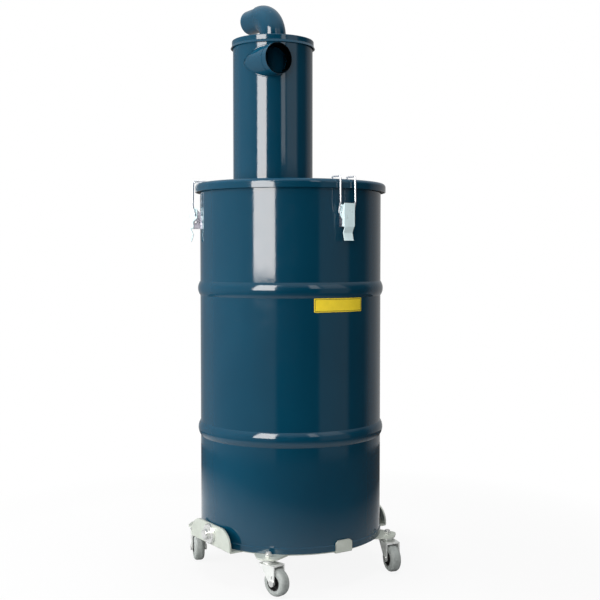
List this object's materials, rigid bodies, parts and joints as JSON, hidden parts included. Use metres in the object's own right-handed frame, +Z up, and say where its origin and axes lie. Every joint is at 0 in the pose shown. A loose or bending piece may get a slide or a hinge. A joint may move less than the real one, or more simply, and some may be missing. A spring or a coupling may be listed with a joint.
{
  "type": "mobile cyclone separator",
  "caption": "Steel dust drum on swivel castors with a cyclone, side inlet and top outlet bend on its latched lid.",
  "frame": {"origin": "on the floor, under the drum's axis", "axes": "+Z up; -Y is the front, where the inlet spigot and one latch are; +X is the right"},
  "size_m": [0.334, 0.3246, 0.9325],
  "materials": {
    "drum_paint": "gloss",
    "zinc_plate": "satin",
    "bright_steel": "bright",
    "zinc_latch": "satin",
    "zinc_fork": "satin",
    "grey_tyre": "matte",
    "black_hub": "matte"
  },
  "bodies": {
    "drum": {"drum_wall": "drum_paint", "drum_bottom": "drum_paint", "lid": "drum_paint", "cyclone_body": "drum_paint", "cyclone_cone": "drum_paint", "cyclone_cap": "drum_paint", "inlet_pipe": "drum_paint", "outlet_elbow": "drum_paint", "outlet_spigot": "drum_paint", "vortex_tube": "drum_paint", "base_plate": "zinc_plate", "wing_bolts": "bright_steel", "latch_base_front": "zinc_latch", "latch_base_right": "zinc_latch", "latch_base_left": "zinc_latch", "castor_stem_front_left": "bright_steel", "castor_stem_front_right": "bright_steel", "castor_stem_rear_left": "bright_steel", "castor_stem_rear_right": "bright_steel"},
    "lever_front": {"latch_lever_front": "zinc_latch"},
    "bail_front": {"latch_bail_front": "zinc_latch"},
    "lever_right": {"latch_lever_right": "zinc_latch"},
    "bail_right": {"latch_bail_right": "zinc_latch"},
    "lever_left": {"latch_lever_left": "zinc_latch"},
    "bail_left": {"latch_bail_left": "zinc_latch"},
    "fork_front_left": {"castor_fork_front_left": "zinc_fork", "castor_axle_front_left": "bright_steel"},
    "wheel_front_left": {"castor_tyre_front_left": "grey_tyre", "castor_hub_front_left": "black_hub"},
    "fork_front_right": {"castor_fork_front_right": "zinc_fork", "castor_axle_front_right": "bright_steel"},
    "wheel_front_right": {"castor_tyre_front_right": "grey_tyre", "castor_hub_front_right": "black_hub"},
    "fork_rear_left": {"castor_fork_rear_left": "zinc_fork", "castor_axle_rear_left": "bright_steel"},
    "wheel_rear_left": {"castor_tyre_rear_left": "grey_tyre", "castor_hub_rear_left": "black_hub"},
    "fork_rear_right": {"castor_fork_rear_right": "zinc_fork", "castor_axle_rear_right": "bright_steel"},
    "wheel_rear_right": {"castor_tyre_rear_right": "grey_tyre", "castor_hub_rear_right": "black_hub"}
  },
  "joints": [
    {"name": "lever_front_swing", "type": "hinge", "parent": "drum", "child": "lever_front", "pos_m": [0, -0.1595, 0.593], "axis": [-1, 0, 0], "range_deg": [0, 120]},
    {"name": "bail_front_swing", "type": "hinge", "parent": "lever_front", "child": "bail_front", "pos_m": [0, -0.1575, 0.584], "axis": [-1, 0, 0], "range_deg": [-110, 2]},
    {"name": "lever_right_swing", "type": "hinge", "parent": "drum", "child": "lever_right", "pos_m": [0.13813, 0.07975, 0.593], "axis": [0.5, -0.866, 0], "range_deg": [0, 120]},
    {"name": "bail_right_swing", "type": "hinge", "parent": "lever_right", "child": "bail_right", "pos_m": [0.1364, 0.07875, 0.584], "axis": [0.5, -0.866, 0], "range_deg": [-110, 2]},
    {"name": "lever_left_swing", "type": "hinge", "parent": "drum", "child": "lever_left", "pos_m": [-0.13813, 0.07975, 0.593], "axis": [0.5, 0.866, 0], "range_deg": [0, 120]},
    {"name": "bail_left_swing", "type": "hinge", "parent": "lever_left", "child": "bail_left", "pos_m": [-0.1364, 0.07875, 0.584], "axis": [0.5, 0.866, 0], "range_deg": [-110, 2]},
    {"name": "castor_front_left_swivel", "type": "hinge", "parent": "drum", "child": "fork_front_left", "pos_m": [-0.11597, -0.11597, 0.054], "axis": [0, 0, 1], "continuous": true},
    {"name": "castor_front_left_roll", "type": "hinge", "parent": "fork_front_left", "child": "wheel_front_left", "pos_m": [-0.11161, -0.13343, 0.0215], "axis": [0.9703, 0.2419, 0], "continuous": true},
    {"name": "castor_front_right_swivel", "type": "hinge", "parent": "drum", "child": "fork_front_right", "pos_m": [0.11597, -0.11597, 0.054], "axis": [0, 0, 1], "continuous": true},
    {"name": "castor_front_right_roll", "type": "hinge", "parent": "fork_front_right", "child": "wheel_front_right", "pos_m": [0.11161, -0.13343, 0.0215], "axis": [0.9703, -0.2419, 0], "continuous": true},
    {"name": "castor_rear_left_swivel", "type": "hinge", "parent": "drum", "child": "fork_rear_left", "pos_m": [-0.11597, 0.11597, 0.054], "axis": [0, 0, 1], "continuous": true},
    {"name": "castor_rear_left_roll", "type": "hinge", "parent": "fork_rear_left", "child": "wheel_rear_left", "pos_m": [-0.12271, 0.09928, 0.0215], "axis": [0.9272, -0.3746, 0], "continuous": true},
    {"name": "castor_rear_right_swivel", "type": "hinge", "parent": "drum", "child": "fork_rear_right", "pos_m": [0.11597, 0.11597, 0.054], "axis": [0, 0, 1], "continuous": true},
    {"name": "castor_rear_right_roll", "type": "hinge", "parent": "fork_rear_right", "child": "wheel_rear_right", "pos_m": [0.11284, 0.09824, 0.0215], "axis": [0.9848, -0.1736, 0], "continuous": true}
  ],
  "couplings": [
    {"joint": "bail_front_swing", "follows": "lever_front_swing", "ratio": -0.9},
    {"joint": "bail_right_swing", "follows": "lever_right_swing", "ratio": -0.9},
    {"joint": "bail_left_swing", "follows": "lever_left_swing", "ratio": -0.9}
  ]
}
